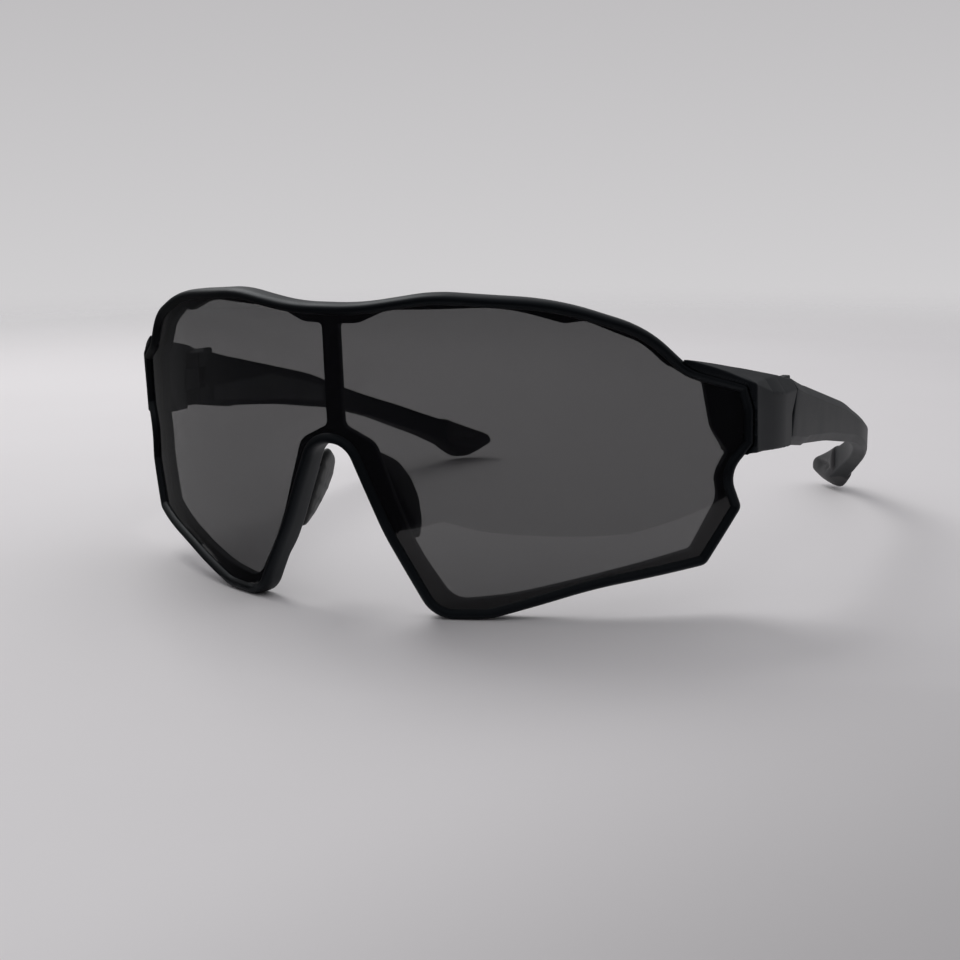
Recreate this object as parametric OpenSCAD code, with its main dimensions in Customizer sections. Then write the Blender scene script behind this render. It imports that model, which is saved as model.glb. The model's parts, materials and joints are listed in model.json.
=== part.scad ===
// Wraparound sport sunglasses: one curved shield lens in a full-rim front, with two folding temples.
// The front faces -Y, the temples run back along +Y, and +Z is up. The wearer's left is at +X.
// The origin is the centre of the bounding box, on the surface that the glasses stand on.

/* [Front] */
// Overall depth, from the brow to the temple tips
depth = 176; // [174:0.5:178]
// Radius of the shield's curve across the middle, seen from above
mid_r = 69; // [66:0.5:72]
// Radius of the shield's flatter curve towards the sides
side_r = 130; // [125:1:135]
// Half width of the middle curve
mid_half_w = 30; // [28:0.5:32]
// Forward lean of the shield in degrees
lean = 3.3; // [2.5:0.1:4]
// Thickness of the shield lens
lens_t = 1.9; // [1.6:0.1:2]
// Thickness of the flange behind the lens
flange_t = 1.8; // [1.5:0.1:2.2]
// How far the rim stands in front of the flange
rim_h = 3; // [2.8:0.1:3.2]
// Width of the rim's lip, seen from the front
lip_w = 1.7; // [1.5:0.1:2]

/* [Hinges] */
// Distance of each hinge axis from the middle plane
hinge_x = 69.5; // [69.3:0.1:69.7]
// Height of the middle of each hinge
hinge_z = 37.5; // [37:0.1:38]
// Outer radius of the hinge knuckles
knuckle_r = 2.6; // [2.4:0.1:2.6]
// Height of the tongue on the front
tongue_h = 4.8; // [4.4:0.1:5]
// Height of each fork lug on the temple
lug_h = 3.6; // [3.3:0.1:3.8]
// Radius of the hinge screw's shank
screw_r = 0.9; // [0.8:0.05:1]
// Radius of the hinge screw's head
head_r = 1.6; // [1.5:0.1:1.7]

/* [Temples] */
// Thickness of each temple
temple_t = 3.6; // [3.2:0.1:3.8]
// Length of the straight part of each temple, from the hinge axis
straight_l = 67; // [65:0.5:69]
// Radius of the inward bend behind the straight part, on the outer face
bend_r = 90; // [86:1:94]
// How far the soft tip stands out from the arm inside it
tip_wall = 0.7; // [0.5:0.1:0.8]

/* [Nose pads] */
// Thickness of each nose pad
pad_t = 2.8; // [2.6:0.1:3]
// Outward flare of the pads towards the face in degrees
pad_flare = 5; // [3:1:7]
// Thickness of the frame's prong inside each pad
prong_t = 1; // [0.9:0.1:1.1]

/* [Hidden] */
$fn = 48;
clear = 0.05;          // running clearance of the hinge, and the lens in its groove
seam = 0.15;           // gap between each end of the front and its temple
arc_steps = 6;         // straight pieces in one rounded corner
lap = 0.3;             // overlap of the shield's curves where they join, in degrees

// Outlines of the front, seen along Y in the shield's own upright plane: [x, height, corner radius].
// Each lists the right-hand half, and the rim's is mirrored for the other half.
rim_half = [
    [7, 60.9, 60], [22, 63.1, 35], [43, 61, 60], [57, 55, 25], [63.4, 47, 10],
    [71.8, 43, 1.5], [72.9, 38, 6], [72.9, 30.8, 1.5], [69.4, 25.6, 5], [71.2, 18.6, 2],
    [65.7, 7.7, 2.5], [48, 5, 80], [30.5, 0, 12], [19.8, 0, 7], [10.6, 16.8, 60], [3.3, 33.9, 5]
];
window = [
    [1.8, 56.9, 0.9], [6, 57, 6], [12, 59.6, 10], [33, 59.8, 60], [42.6, 56.3, 3], [46, 56.6, 3],
    [54.8, 51.8, 14], [58.6, 47.2, 8], [64, 43.9, 3], [65.3, 34.2, 6], [67.8, 29.2, 1.5],
    [65.8, 25, 5], [66.4, 20.2, 5], [62.2, 10.6, 1.5], [33, 4.1, 60], [22.6, 3.2, 5],
    [15.2, 14.6, 60], [8.3, 34, 4], [1.8, 37.2, 1.5]
];

// Side outlines of the temple and what is on it: [distance behind the hinge axis, height, corner radius].
arm_side = [
    [10.3 + seam, 43, 0.3], [16, 41.6, 60], [57, 32.2, 60], [97, 18, 100], [114, 11, 1],
    [113, 4, 1], [105, 8.7, 60], [87, 16.3, 40], [70, 21, 60], [41, 25.8, 80], [16, 28.6, 60],
    [7.3 + seam, 29.6, 0.3], [7.3 + seam, 36.5, 0.6], [10.3 + seam, 40.4, 0.6]
];
tang_side = [[105, 13.6, 0.5], [121.5, 6.6, 1], [119, 2.4, 1], [105, 10.6, 0.5]];
tip_side = [
    [113.6, 11.8, 1], [124.8, 6.6, 1.4], [124.8, 4.2, 1.6], [120.6, 0, 1.2], [117, 0, 3],
    [111.6, 4.4, 1]
];
grip_side = [
    [12, 34.8, 0.5], [20, 34.7, 20], [38, 35, 3], [58, 30.2, 40], [64, 28.3, 1],
    [64, 23, 1], [42, 26.4, 60], [16, 29.2, 40], [12, 29.6, 0.5]
];
endpiece_side = [
    [-26, 52, 0.5], [-11, 47.6, 30], [4, 44.4, 30], [10.3, 43, 0.3], [10.3, 40.4, 0.6],
    [7.3, 36.5, 0.6], [7.3, 29.8, 0.3], [-8, 30.9, 10], [-26, 30.9, 0.5]
];
// The endpiece's outline seen from the front, around the hinge axis: [x, height, corner radius].
endpiece_front = [[-16, 56.4, 0.5], [3.2, 44.6, 0.5], [5.5, 41.2, 0.8], [5.5, 25, 0.5], [-16, 25, 0.5]];
pad_side = [
    [-0.2, 8.6, 0.8], [1.6, 10.2, 2], [5.8, 7.2, 5], [7.4, 3, 5], [7.2, -1.4, 6], [5, -6.2, 3],
    [2.6, -8.6, 1.5], [1.6, -8.2, 0.8]
];

// Plan outlines around the left hinge axis: [x, y].
endpiece_plan = [
    [-7.5, -21.2], [-7.5, -24], [3.4, -18], [3.4, -11.6], [4.9, -4.5], [5.5, 2], [5.5, 12],
    [2, 12], [2, 4.8], [-1, 0], [-3.6, -8.5]
];
fork_plan = [
    [-knuckle_r, 0], [knuckle_r, 0], [3.2, 1.5], [3.2, 10.6], [3.6, 13], [1.9, 13], [1.9, 9],
    [-knuckle_r, 3.5]
];

outer_x = hinge_x + 5.5;
rim_top = rim_half[0][1];
front_y = -depth / 2 + rim_h * cos(lean) + rim_top * sin(lean);
front_z = -0.25;
hinge_y = -36.8;
blend_a = asin(mid_half_w / mid_r);
side_cx = (mid_r - side_r) * sin(blend_a);
side_cy = mid_r + (side_r - mid_r) * cos(blend_a);
lug_z = [hinge_z - tongue_h / 2 - clear - lug_h, hinge_z + tongue_h / 2 + clear];
insert_r = 1.5;
insert_h = 2.6;
insert_z = lug_z[0] + 0.5;
head_h = 1;
head_z = lug_z[1] + lug_h - head_h - 0.3;
grip_t = 0.8;
nose_wall_t = 1.8;            // thickness of the rim around the nose opening
nose_wall_h = 0.8;            // how far it stands behind the flange
pad_at = [9.7, 4.6, 21.8];    // the middle of a pad's front edge, in the shield's plane
pad_lean = 24.8;              // slope of the nose opening's side
lens_edge = 1.1;              // distance of the lens's edge inside the rim's outline
side_view = 42;               // the direction, in plan, that the front's outer parts are cut along
roof_z = 43.8;                // underside of the front's roof over each hinge

// Turns a list of [x, y, radius] corners into points, with an arc at each corner.
function corner(p, q, r) =
    let (
        a = [p[0] - q[0], p[1] - q[1]], b = [r[0] - q[0], r[1] - q[1]],
        u = a / norm(a), v = b / norm(b),
        half = acos(max(-1, min(1, u * v))) / 2,
        rad = min(q[2], 0.48 * min(norm(a), norm(b)) * tan(half)),
        back = rad / tan(half),
        mid = (u + v) / norm(u + v),
        centre = [q[0], q[1]] + mid * rad / sin(half),
        from = [q[0], q[1]] + u * back - centre,
        to = [q[0], q[1]] + v * back - centre,
        a0 = atan2(from[1], from[0]),
        turn = atan2(from[0] * to[1] - from[1] * to[0], from * to)
    )
    [for (i = [0:arc_steps]) centre + rad * [cos(a0 + turn * i / arc_steps), sin(a0 + turn * i / arc_steps)]];

function rounded(pts) =
    let (n = len(pts))
    [for (i = [0:n - 1]) each corner(pts[(i + n - 1) % n], pts[i], pts[(i + 1) % n])];

// Moves a clockwise list of corners inwards by d and keeps the arcs concentric.
function inset(pts, d) =
    let (n = len(pts))
    [for (i = [0:n - 1])
        let (
            p = pts[(i + n - 1) % n], q = pts[i], r = pts[(i + 1) % n],
            e = [q[0] - p[0], q[1] - p[1]], f = [r[0] - q[0], r[1] - q[1]],
            m = [e[1], -e[0]] / norm(e), k = [f[1], -f[0]] / norm(f),
            s = d / (1 + m * k), convex = e[0] * f[1] - e[1] * f[0] < 0
        )
        [q[0] + (m[0] + k[0]) * s, q[1] + (m[1] + k[1]) * s, max(0.2, q[2] + (convex ? -d : d))]];

function mirrored(half) = concat(half, [for (i = [len(half) - 1:-1:0]) [-half[i][0], half[i][1], half[i][2]]]);

rim = mirrored(rim_half);

// Depth of the shield's curve behind its middle, at a distance n in front of the flange.
function curve_y(x, n) =
    x <= mid_half_w + n * sin(blend_a)
        ? mid_r - sqrt(pow(mid_r + n, 2) - x * x)
        : side_cy - sqrt(pow(side_r + n, 2) - pow(x - side_cx, 2));

// Half an outline as it is seen along side_view, where it lies n in front of the flange.
function turned(half, n) =
    [for (p = half) [p[0] * cos(side_view) + curve_y(p[0], n) * sin(side_view), p[1], p[2]]];

// Places the shield's upright plane at the front, leaning forwards.
module at_front() {
    translate([0, front_y, front_z]) rotate([lean, 0, 0]) children();
}

// Extrudes an outline of [x, height] along Y.
module along_y(pts, y0, y1) {
    translate([0, y1, 0]) rotate([90, 0, 0]) linear_extrude(y1 - y0) polygon(rounded(pts));
}

// Extrudes an outline of [y, height] along X, from the left hinge axis.
module along_x(pts, x0, x1) {
    translate([x0, hinge_y, 0]) rotate([90, 0, 90]) linear_extrude(x1 - x0) polygon(rounded(pts));
}

// Cuts the front's outline, drawn in by d: the middle along Y, and the outer parts square to the curve.
module front_cut(half, n, d) {
    intersection() {
        along_y(inset(mirrored(half), d), -10, 60);
        translate([-mid_half_w, -20, -5]) cube([2 * mid_half_w, 100, 80]);
    }
    for (s = [1, -1]) side(s) outer_cut(half, n, d);
}

module outer_cut(half, n, d) {
    intersection() {
        rotate([0, 0, side_view]) along_y(inset(turned(half, n), d), -80, 60);
        translate([mid_half_w - 0.05, -20, -5]) cube([60, 100, 80]);
    }
}

// The curved wall between two distances in front of the flange's face.
module shield_wall(n0, n1) {
    translate([0, mid_r, -5]) rotate([0, 0, -90 - blend_a - lap])
        rotate_extrude(angle = 2 * (blend_a + lap), $fn = 180)
            translate([mid_r + n0, 0]) square([n1 - n0, 80]);
    for (s = [0, 1]) mirror([s, 0, 0])
        translate([side_cx, side_cy, -5]) rotate([0, 0, -90 + blend_a])
            rotate_extrude(angle = 34, $fn = 180)
                translate([side_r + n0, 0]) square([n1 - n0, 80]);
}

// Swaps the left side for the right one.
module side(s) {
    if (s > 0) children();
    else mirror([1, 0, 0]) children();
}

module at_hinge(z = 0) {
    translate([hinge_x, hinge_y, z]) children();
}

module at_pad() {
    at_front() translate(pad_at) rotate([0, -pad_lean, 0]) rotate([0, 0, -pad_flare]) children();
}

// A plate with its outline in its own YZ plane.
module plate(pts, t) {
    translate([-t / 2, 0, 0]) rotate([90, 0, 90]) linear_extrude(t) polygon(rounded(pts));
}

// The temple's wall seen from above, straight and then bent inwards, between two depths below its outer face.
module temple_wall(shallow, deep) {
    centre_y = hinge_y + straight_l;
    translate([outer_x - deep, hinge_y - 20, -5]) cube([deep - shallow, straight_l + 20, 60]);
    translate([outer_x - bend_r, centre_y, -5])
        rotate_extrude(angle = 50, $fn = 180)
            translate([bend_r - deep, 0]) square([deep - shallow, 60]);
}

module endpiece() {
    difference() {
        intersection() {
            at_hinge() linear_extrude(60) polygon(endpiece_plan);
            along_x(endpiece_side, hinge_x - 12, hinge_x + 8);
            translate([hinge_x, 0, 0]) along_y(endpiece_front, -80, 0);
            at_front() shield_wall(-32, rim_h);
        }
        at_hinge() translate([-20, -3, 0]) cube([23.5, 20, roof_z]);
    }
    at_hinge(hinge_z - tongue_h / 2) difference() {
        union() {
            cylinder(r = knuckle_r, h = tongue_h);
            translate([-knuckle_r, -4, 0]) cube([2 * knuckle_r, 4, tongue_h]);
        }
        translate([0, 0, -1]) cylinder(r = screw_r + clear, h = tongue_h + 2);
    }
}

// The nose opening's rim, which stands behind the flange and carries the pads.
module nose_wall() {
    intersection() {
        difference() {
            along_y(rim, -10, 60);
            along_y(inset(rim, nose_wall_t), -11, 61);
        }
        shield_wall(-flange_t - nose_wall_h, -1);
        translate([-16, -10, 10]) cube([32, 40, 30]);
    }
}

module frame_front() color([0.03, 0.03, 0.035]) {
    difference() {
        union() {
            at_front() {
                intersection() {
                    front_cut(rim_half, rim_h, 0);
                    shield_wall(-flange_t, rim_h);
                }
                nose_wall();
            }
            for (s = [1, -1]) side(s) {
                endpiece();
                at_pad() translate([-prong_t / 2, -2.6, -4]) cube([prong_t, 6.2, 11]);
            }
        }
        at_front() {
            intersection() {
                front_cut(rim_half, rim_h, lens_edge);
                shield_wall(0, lens_t + 2 * clear);
            }
            intersection() {
                front_cut(rim_half, rim_h, lip_w);
                shield_wall(lens_t, rim_h + 8);
            }
            for (s = [1, -1]) side(s) {
                intersection() {
                    along_y(window, -10, 60);
                    translate([0, -20, -5]) cube([mid_half_w, 100, 80]);
                }
                outer_cut(window, 0, 0);
            }
        }
        translate([-100, -100, -10]) cube([200, 200, 10]);
    }
}

module shield_lens() color([0.13, 0.13, 0.15, 0.75]) {
    at_front() intersection() {
        front_cut(rim_half, rim_h, lens_edge + clear);
        shield_wall(clear, lens_t + clear);
    }
}

module nose_pad() color([0.07, 0.08, 0.08]) {
    at_pad() difference() {
        plate(pad_side, pad_t);
        translate([-prong_t / 2, -1, -4]) cube([prong_t, 4.6, 11]);
    }
}

module temple() color([0.05, 0.052, 0.055]) {
    difference() {
        union() {
            intersection() {
                along_x(arm_side, 40, outer_x + 1);
                temple_wall(0, temple_t);
            }
            intersection() {
                along_x(tang_side, 35, outer_x + 1);
                temple_wall(0.8, temple_t - 0.8);
            }
            for (z = lug_z) at_hinge(z) linear_extrude(lug_h) {
                circle(r = knuckle_r);
                polygon(fork_plan);
            }
        }
        at_hinge(lug_z[1] - 1) cylinder(r = screw_r + clear, h = lug_h + 2);
        at_hinge(head_z) cylinder(r = head_r + clear, h = 5);
        at_hinge(lug_z[0] - 1) cylinder(r = screw_r + clear, h = lug_h + 2);
        at_hinge(insert_z) cylinder(r = insert_r, h = insert_h);
        along_x(grip_side, outer_x - temple_t - 1, outer_x - temple_t + grip_t - 0.2);
    }
}

module temple_grip() color([0.09, 0.095, 0.1]) {
    along_x(grip_side, outer_x - temple_t - 0.2, outer_x - temple_t + grip_t - 0.2);
}

module temple_tip() color([0.06, 0.06, 0.065]) {
    difference() {
        intersection() {
            along_x(tip_side, 35, outer_x + 2);
            temple_wall(-tip_wall, temple_t + tip_wall);
        }
        intersection() {
            along_x(arm_side, 40, outer_x + 1);
            temple_wall(0, temple_t);
        }
        intersection() {
            along_x(tang_side, 35, outer_x + 1);
            temple_wall(0.8, temple_t - 0.8);
        }
    }
}

module hinge_screw() color([0.55, 0.55, 0.57]) {
    at_hinge() difference() {
        union() {
            translate([0, 0, lug_z[0] + 0.3]) cylinder(r = screw_r, h = head_z - lug_z[0]);
            translate([0, 0, head_z]) cylinder(r = head_r, h = head_h);
        }
        translate([-2, -0.2, head_z + head_h - 0.5]) cube([4, 0.4, 1]);
        translate([-0.2, -2, head_z + head_h - 0.5]) cube([0.4, 4, 1]);
    }
}

module screw_insert() color([0.7, 0.55, 0.3]) {
    at_hinge(insert_z) difference() {
        cylinder(r = insert_r, h = insert_h);
        translate([0, 0, -1]) cylinder(r = screw_r, h = insert_h + 2);
    }
}

frame_front();
shield_lens();
side(1) nose_pad();  // nose_pad_left
side(-1) nose_pad();  // nose_pad_right
side(1) temple();  // temple_left
side(-1) temple();  // temple_right
side(1) temple_grip();  // temple_grip_left
side(-1) temple_grip();  // temple_grip_right
side(1) temple_tip();  // temple_tip_left
side(-1) temple_tip();  // temple_tip_right
side(1) hinge_screw();  // hinge_screw_left
side(-1) hinge_screw();  // hinge_screw_right
side(1) screw_insert();  // screw_insert_left
side(-1) screw_insert();  // screw_insert_right
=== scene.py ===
import json
import math
import bpy
import bmesh
import numpy as np
from mathutils import Matrix, Vector
from mathutils.geometry import delaunay_2d_cdt


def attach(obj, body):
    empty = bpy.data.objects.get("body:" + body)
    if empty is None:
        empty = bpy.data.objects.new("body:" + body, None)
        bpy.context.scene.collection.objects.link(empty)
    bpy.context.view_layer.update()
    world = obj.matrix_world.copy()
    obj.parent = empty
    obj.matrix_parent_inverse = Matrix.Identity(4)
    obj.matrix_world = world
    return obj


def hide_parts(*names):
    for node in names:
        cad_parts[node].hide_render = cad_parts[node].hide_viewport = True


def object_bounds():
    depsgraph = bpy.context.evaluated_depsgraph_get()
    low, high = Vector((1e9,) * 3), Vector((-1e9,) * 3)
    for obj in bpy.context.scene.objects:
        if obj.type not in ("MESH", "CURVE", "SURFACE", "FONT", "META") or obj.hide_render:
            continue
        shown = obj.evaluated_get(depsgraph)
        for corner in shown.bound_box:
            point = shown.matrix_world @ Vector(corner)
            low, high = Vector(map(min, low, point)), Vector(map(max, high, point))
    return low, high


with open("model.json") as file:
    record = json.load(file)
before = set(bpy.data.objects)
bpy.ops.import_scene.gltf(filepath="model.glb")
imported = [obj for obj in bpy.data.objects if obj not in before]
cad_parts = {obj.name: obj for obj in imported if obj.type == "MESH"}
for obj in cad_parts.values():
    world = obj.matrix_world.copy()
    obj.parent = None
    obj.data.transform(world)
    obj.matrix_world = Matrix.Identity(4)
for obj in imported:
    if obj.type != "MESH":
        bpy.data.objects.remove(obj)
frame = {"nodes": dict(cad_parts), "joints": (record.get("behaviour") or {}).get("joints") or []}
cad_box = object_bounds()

MM = 0.001

# ---------------------------------------------------------------- camera
CAM_AT = Vector((0.15823, -0.3392, 0.0822))
CAM_FORWARD = Vector((-0.4373, 0.88014, -0.18472)).normalized()
CAM_RIGHT = Vector((0.89604, 0.44392, -0.00608))
cam_data = bpy.data.cameras.new("camera")
cam_data.sensor_width = 36.0
cam_data.lens = 58.9
cam_data.clip_start = 0.01
cam_data.clip_end = 20.0
cam = bpy.data.objects.new("camera", cam_data)
bpy.context.scene.collection.objects.link(cam)
cam_up = CAM_RIGHT.cross(CAM_FORWARD).normalized()
cam_right = CAM_FORWARD.cross(cam_up).normalized()
rot = Matrix((cam_right, cam_up, -CAM_FORWARD)).transposed()
cam.matrix_world = Matrix.Translation(CAM_AT) @ rot.to_4x4()
bpy.context.scene.camera = cam

# ---------------------------------------------------------------- the part's own sizes, in mm
MID_R, SIDE_R, MID_HALF_W = 69.0, 130.0, 30.0      # radii of the shield's middle and sides; where they meet
LEAN = math.radians(3.3)
FLANGE_T, RIM_H = 1.8, 3.0
SIDE_VIEW = math.radians(42)      # the way the outer half of the rim is cut through
RIM_TOP = 60.9
BLEND_A = math.asin(MID_HALF_W / MID_R)
SIDE_CX = (MID_R - SIDE_R) * math.sin(BLEND_A)
SIDE_CY = MID_R + (SIDE_R - MID_R) * math.cos(BLEND_A)
FRONT_Y = cad_box[0].y / MM + RIM_H * math.cos(LEAN) + RIM_TOP * math.sin(LEAN)
FRONT_Z = -0.25                  # the leaning rim sinks this far, and what is below the table is flattened
HX, HY, HZ = [v / MM for v in frame["joints"][0]["pos_m"]]
OUTER = 5.5                      # a temple's outer face, beyond the hinge axis
TEMPLE_T = 3.6
STRAIGHT_L, BEND_R = 67.0, 90.0   # a temple is straight for this length behind its hinge, then bends in

# corners of the front: (x, w up the shield, radius)
RIM_HALF = [
    (7, 60.9, 60), (22, 63.1, 35), (43, 61, 60), (57, 55, 25), (63.4, 47, 10),
    (71.8, 43, 1.5), (72.9, 38, 6), (72.9, 30.8, 1.5), (69.4, 25.6, 5), (71.2, 18.6, 2),
    (65.7, 7.7, 2.5), (48, 5, 80), (30.5, 0, 12), (19.8, 0, 7), (10.6, 16.8, 60), (3.3, 33.9, 5),
]
WINDOW = [
    (1.8, 56.9, 0.9), (6, 57, 6), (12, 59.6, 10), (33, 59.8, 60), (42.6, 56.3, 3), (46, 56.6, 3),
    (54.8, 51.8, 14), (58.6, 47.2, 8), (64, 43.9, 3), (65.3, 34.2, 6), (67.8, 29.2, 1.5),
    (65.8, 25, 5), (66.4, 20.2, 5), (62.2, 10.6, 1.5), (33, 4.1, 60), (22.6, 3.2, 5),
    (15.2, 14.6, 60), (8.3, 34, 4), (1.8, 37.2, 1.5),
]


# ---------------------------------------------------------------- outlines
def smooth(t):
    t = max(0.0, min(1.0, t))
    return t * t * (3 - 2 * t)


def unroll(x, n):
    """Distance along the shield's curve, at its flange face, of a point at x that lies n in front."""
    a = abs(x)
    if a <= MID_HALF_W + n * math.sin(BLEND_A):
        s = MID_R * math.asin(a / (MID_R + n))
    else:
        s = MID_R * BLEND_A + SIDE_R * (math.asin((a - SIDE_CX) / (SIDE_R + n)) - BLEND_A)
    return math.copysign(s, x)


def on_shield(s, w, n):
    """The point in mm at s along the shield's curve, w up it and n in front of the flange face."""
    a = abs(s)
    if a <= MID_R * BLEND_A:
        phi = a / MID_R
        x, y = (MID_R + n) * math.sin(phi), MID_R - (MID_R + n) * math.cos(phi)
    else:
        phi = BLEND_A + (a - MID_R * BLEND_A) / SIDE_R
        x, y = SIDE_CX + (SIDE_R + n) * math.sin(phi), SIDE_CY - (SIDE_R + n) * math.cos(phi)
    return (math.copysign(x, s), y * math.cos(LEAN) - w * math.sin(LEAN) + FRONT_Y,
            y * math.sin(LEAN) + w * math.cos(LEAN) + FRONT_Z)


def drift(s, n):
    """How far a wall along the side view strays from the shield's own normal, n in front of the flange."""
    a = abs(s)
    if a <= MID_R * BLEND_A:
        return 0.0
    phi = BLEND_A + (a - MID_R * BLEND_A) / SIDE_R
    return math.copysign((RIM_H - n) * math.tan(phi - SIDE_VIEW) * smooth((a - 55) / 9), s)


def on_rim(s, w, n):
    """As on_shield, for a line drawn on the rim's front face and carried back along the side view."""
    return on_shield(s + drift(s, n), w, n)


def inset(corners, d):
    """Moves a clockwise list of (x, y, radius) corners inwards by d and keeps the arcs concentric."""
    out = []
    for i, q in enumerate(corners):
        p, r = corners[i - 1], corners[(i + 1) % len(corners)]
        e, f = (q[0] - p[0], q[1] - p[1]), (r[0] - q[0], r[1] - q[1])
        le, lf = math.hypot(*e), math.hypot(*f)
        m, k = (e[1] / le, -e[0] / le), (f[1] / lf, -f[0] / lf)
        t = d / (1 + m[0] * k[0] + m[1] * k[1])
        convex = e[0] * f[1] - e[1] * f[0] < 0
        out.append((q[0] + (m[0] + k[0]) * t, q[1] + (m[1] + k[1]) * t,
                    max(0.2, q[2] + (-d if convex else d))))
    return out


def arc_of(p, q, r, steps):
    """Points of the arc that rounds corner q between p and r."""
    a, b = (p[0] - q[0], p[1] - q[1]), (r[0] - q[0], r[1] - q[1])
    la, lb = math.hypot(*a), math.hypot(*b)
    u, v = (a[0] / la, a[1] / la), (b[0] / lb, b[1] / lb)
    half = math.acos(max(-1, min(1, u[0] * v[0] + u[1] * v[1]))) / 2
    rad = min(q[2], 0.48 * min(la, lb) * math.tan(half))
    back = rad / math.tan(half)
    mx, my = u[0] + v[0], u[1] + v[1]
    lm = math.hypot(mx, my)
    cx, cy = q[0] + mx / lm * rad / math.sin(half), q[1] + my / lm * rad / math.sin(half)
    fx, fy = q[0] + u[0] * back - cx, q[1] + u[1] * back - cy
    tx, ty = q[0] + v[0] * back - cx, q[1] + v[1] * back - cy
    a0, turn = math.atan2(fy, fx), math.atan2(fx * ty - fy * tx, fx * tx + fy * ty)
    return [(cx + rad * math.cos(a0 + turn * i / steps), cy + rad * math.sin(a0 + turn * i / steps))
            for i in range(steps + 1)]


def outline(corners, steps=8, spacing=1.2, base=None):
    """A closed line of points round the corners.

    Outlines made from insets of one base match point for point."""
    base = base or corners
    n, out = len(corners), []
    for i in range(n):
        arc = arc_of(corners[i - 1], corners[i], corners[(i + 1) % n], steps)
        nxt = arc_of(corners[i], corners[(i + 1) % n], corners[(i + 2) % n], steps)
        length = math.hypot(base[(i + 1) % n][0] - base[i][0], base[(i + 1) % n][1] - base[i][1])
        parts = max(2, int(length / spacing))
        out += arc
        a, b = arc[-1], nxt[0]
        out += [(a[0] + (b[0] - a[0]) * j / parts, a[1] + (b[1] - a[1]) * j / parts)
                for j in range(1, parts)]
    return out


def mirrored(half):
    return list(half) + [(-x, y, r) for x, y, r in reversed(half)]


RIM = [(unroll(x, RIM_H), w, r) for x, w, r in mirrored(RIM_HALF)]
WINDOW_L = [(unroll(x, 0) - drift(unroll(x, 0), 0), w, r) for x, w, r in WINDOW]
WINDOW_R = [(-s, w, r) for s, w, r in reversed(WINDOW_L)]


def rim_line(d):
    return outline(inset(RIM, d) if d else RIM, base=RIM)


# ---------------------------------------------------------------- meshes
MERGE = 1e-3                     # points of one piece that lie closer than this, in mm, are one point


class Build:
    """Gathers vertices in mm and faces, and makes one object of them."""

    def __init__(self):
        self.verts, self.faces = [], []

    def add(self, verts, faces, side=1):
        at = len(self.verts)
        self.verts += [(side * v[0], v[1], v[2]) for v in verts]
        self.faces += [[at + i for i in f] for f in faces]

    @staticmethod
    def quads(n, rows):
        """The faces between neighbours in a stack of closed rings of n points."""
        return [[j * n + i, j * n + (i + 1) % n, (j + 1) * n + (i + 1) % n, (j + 1) * n + i]
                for j in range(rows - 1) for i in range(n)]

    def bands(self, rings, side=1):
        """Quads between rings that have the same number of points."""
        self.add([p for r in rings for p in r], self.quads(len(rings[0]), len(rings)), side)

    def loft(self, rings, side=1):
        """A closed solid through rings, with a fan at each end."""
        n, verts = len(rings[0]), [p for r in rings for p in r]
        faces = self.quads(n, len(rings))
        for ring, flip in ((0, True), (len(rings) - 1, False)):
            c = np.mean(np.array(rings[ring], float), axis=0)
            at = len(verts)
            verts.append(tuple(c))
            for i in range(n):
                k = (i + 1) % n
                f = [ring * n + i, ring * n + k, at]
                faces.append(f[::-1] if flip else f)
        self.add(verts, faces, side)

    def prism(self, plan, z0, z1, bevel, side=1):
        """An upright prism of (x, y) points with its top and bottom edges bevelled."""
        c = np.mean(np.array(plan, float), axis=0)
        rings = []
        for z, k in ((z0, 1), (z0 + bevel, 0), (z1 - bevel, 0), (z1, 1)):
            ring = []
            for p in plan:
                r = math.hypot(p[0] - c[0], p[1] - c[1])
                t = 1 - k * bevel / max(r, bevel * 2)
                ring.append((c[0] + (p[0] - c[0]) * t, c[1] + (p[1] - c[1]) * t, z))
            rings.append(ring)
        self.loft(rings, side)

    def ring(self, cx, cy, r_in, r_out, z0, z1, bevel=0.25, steps=48, side=1):
        """A bored disc with chamfered edges."""
        prof = [(r_in, z0 + bevel), (r_in + bevel, z0), (r_out - bevel, z0), (r_out, z0 + bevel),
                (r_out, z1 - bevel), (r_out - bevel, z1), (r_in + bevel, z1), (r_in, z1 - bevel)]
        rings = [[(cx + r * math.cos(2 * math.pi * i / steps), cy + r * math.sin(2 * math.pi * i / steps), z)
                  for i in range(steps)] for r, z in prof]
        self.bands(rings + rings[:1], side=side)

    def make(self, name, material, body, replaces=(), sharp=38):
        """The object, held above the table, with edges past the sharp angle kept crisp."""
        mesh = bpy.data.meshes.new(name)
        mesh.from_pydata([(v[0] * MM, v[1] * MM, max(0.0, v[2] * MM)) for v in self.verts], [], self.faces)
        bm = bmesh.new()
        bm.from_mesh(mesh)
        bmesh.ops.remove_doubles(bm, verts=bm.verts, dist=MERGE * MM)
        bmesh.ops.dissolve_degenerate(bm, dist=1e-7, edges=bm.edges)
        bmesh.ops.recalc_face_normals(bm, faces=bm.faces)
        bm.to_mesh(mesh)
        bm.free()
        for p in mesh.polygons:
            p.use_smooth = True
        mesh.set_sharp_from_angle(angle=math.radians(sharp))
        mesh.materials.append(material)
        obj = bpy.data.objects.new(name, mesh)
        bpy.context.scene.collection.objects.link(obj)
        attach(obj, body)
        if replaces:
            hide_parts(*replaces)
        return obj


SLIVER = 1e-3                    # triangles of less than half this, in mm2, are left out of a filled area


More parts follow.
